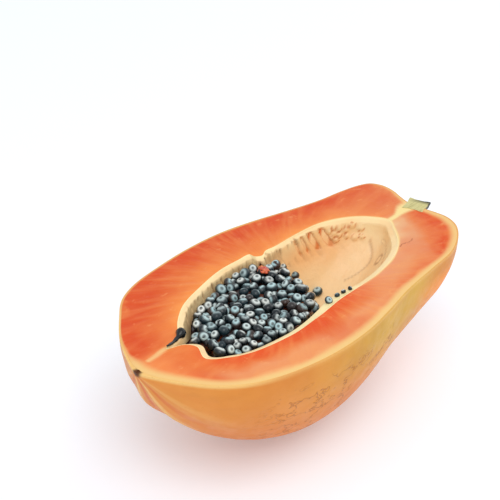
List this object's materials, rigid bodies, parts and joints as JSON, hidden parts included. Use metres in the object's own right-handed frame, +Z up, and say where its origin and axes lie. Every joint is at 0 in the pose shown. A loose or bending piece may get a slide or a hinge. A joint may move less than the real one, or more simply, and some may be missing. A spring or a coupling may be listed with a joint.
{
  "type": "papaya half",
  "caption": "Ripe papaya cut lengthwise, lying on its belly, with orange flesh, a heap of black seeds in the open hollow and a halved stem stub.",
  "frame": {"origin": "middle of the footprint, on the surface that the piece rests on", "axes": "+X along the fruit from the blossom end to the stem end, +Z up out of the level cut face"},
  "size_m": [0.2259, 0.1218, 0.0782],
  "materials": {
    "flesh": "moist ripe flesh, deep coral under the skin and salmon towards the hollow",
    "skin": "waxy orange skin with yellow patches, fine scars and creases",
    "lining": "moist cream lining of the hollow",
    "pulp": "wet red-brown pulp between the seeds",
    "seed": "wet black seeds in clear skins",
    "stem": "pale green cut stem with a darker rim"
  },
  "bodies": {
    "root": {"fruit": "flesh", "seeds": "seed", "stem": "stem"}
  },
  "joints": []
}
